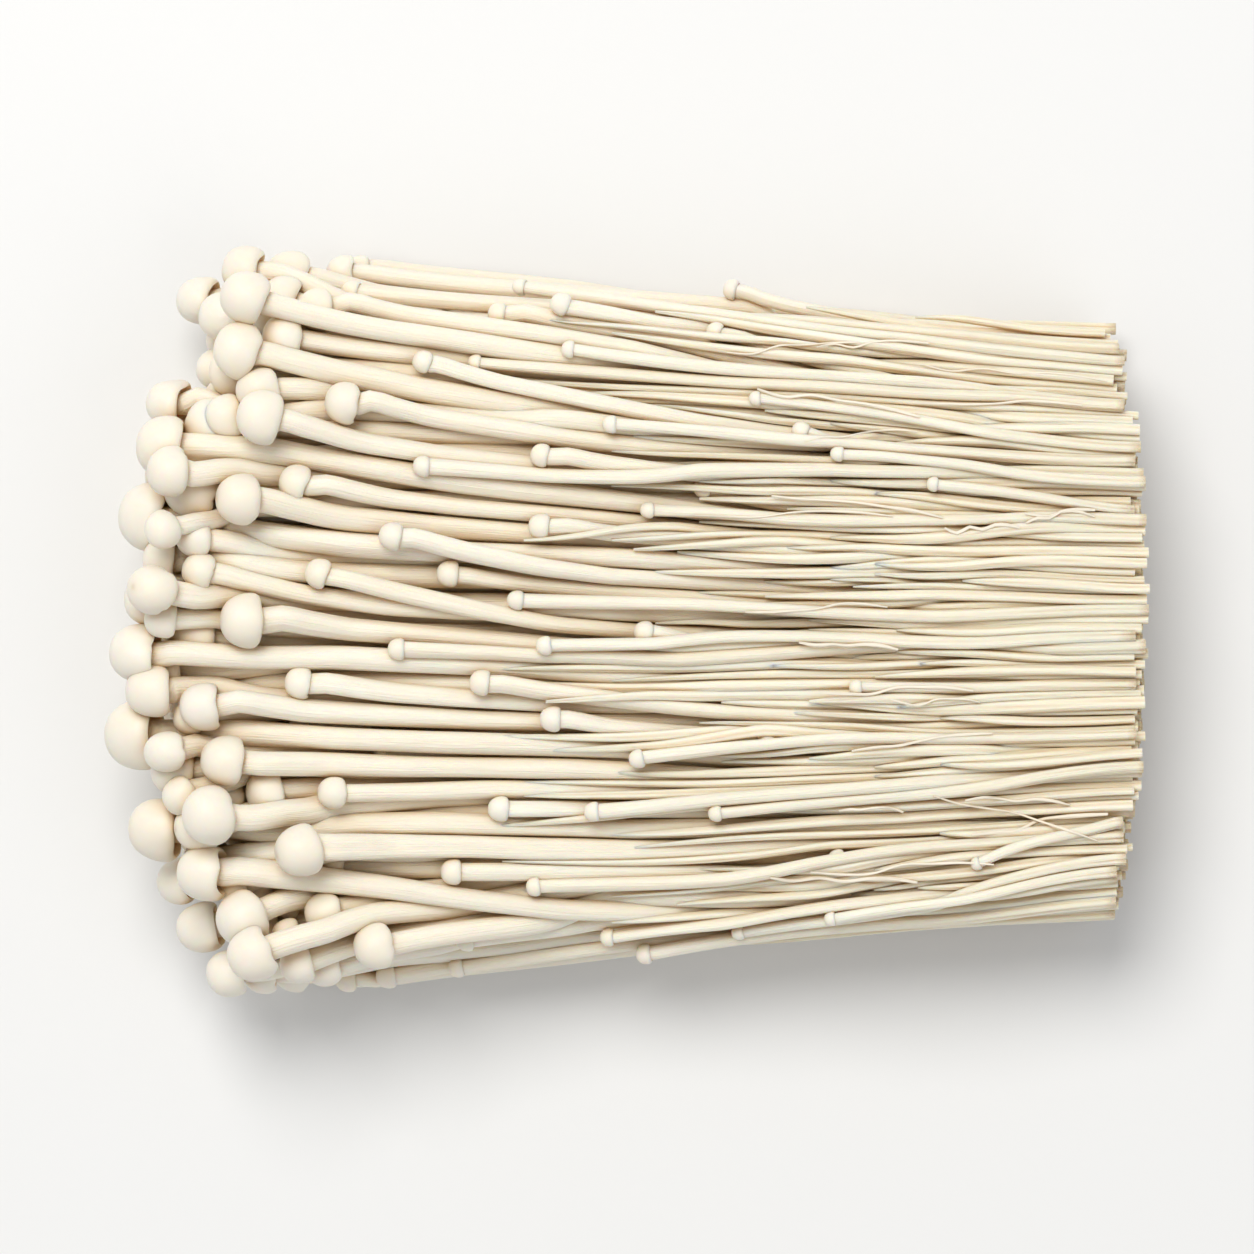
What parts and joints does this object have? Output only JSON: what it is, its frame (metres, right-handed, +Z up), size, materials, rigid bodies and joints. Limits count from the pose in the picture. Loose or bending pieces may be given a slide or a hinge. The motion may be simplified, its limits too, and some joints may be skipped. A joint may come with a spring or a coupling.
{
  "type": "enoki mushroom bunch",
  "caption": "Bunch of fresh enoki mushrooms, trimmed at the root and lying flat: long thin cream stems fused in clumps at the cut end, small round caps at the other.",
  "frame": {"origin": "middle of the bunch's footprint, on the surface that it lies on", "axes": "+X along the stems towards the cut ends, -X towards the caps, +Z up"},
  "size_m": [0.1409, 0.1011, 0.0343],
  "materials": {
    "mushroom": "smooth, slightly moist mushroom skin, ivory white caps on cream stems, soft satin",
    "fused_stems": "cream stems pressed together, finely fibrous along their length, beige where they are cut"
  },
  "bodies": {
    "root": {"lower_clump_1": "fused_stems", "lower_clump_2": "fused_stems", "lower_clump_3": "fused_stems", "lower_clump_4": "fused_stems", "lower_clump_5": "fused_stems", "upper_clump_1": "fused_stems", "upper_clump_2": "fused_stems", "upper_clump_3": "fused_stems", "upper_clump_4": "fused_stems", "upper_clump_5": "fused_stems", "upper_clump_6": "fused_stems", "mushroom_01": "mushroom", "mushroom_02": "mushroom", "mushroom_03": "mushroom", "mushroom_04": "mushroom", "mushroom_05": "mushroom", "mushroom_06": "mushroom", "mushroom_07": "mushroom", "mushroom_08": "mushroom", "mushroom_09": "mushroom", "mushroom_10": "mushroom", "mushroom_11": "mushroom", "mushroom_12": "mushroom", "mushroom_13": "mushroom", "mushroom_14": "mushroom", "mushroom_15": "mushroom", "mushroom_16": "mushroom", "mushroom_17": "mushroom", "mushroom_18": "mushroom", "mushroom_19": "mushroom", "mushroom_20": "mushroom", "mushroom_21": "mushroom", "mushroom_22": "mushroom", "mushroom_23": "mushroom", "mushroom_24": "mushroom", "mushroom_25": "mushroom", "mushroom_26": "mushroom", "mushroom_27": "mushroom", "mushroom_28": "mushroom", "mushroom_29": "mushroom", "mushroom_30": "mushroom", "mushroom_31": "mushroom", "mushroom_32": "mushroom", "mushroom_33": "mushroom", "mushroom_34": "mushroom", "mushroom_35": "mushroom", "mushroom_36": "mushroom", "mushroom_37": "mushroom", "mushroom_38": "mushroom", "mushroom_39": "mushroom", "mushroom_40": "mushroom", "mushroom_41": "mushroom", "mushroom_42": "mushroom", "mushroom_43": "mushroom", "mushroom_44": "mushroom", "mushroom_45": "mushroom", "mushroom_46": "mushroom", "mushroom_47": "mushroom", "mushroom_48": "mushroom"}
  },
  "joints": []
}
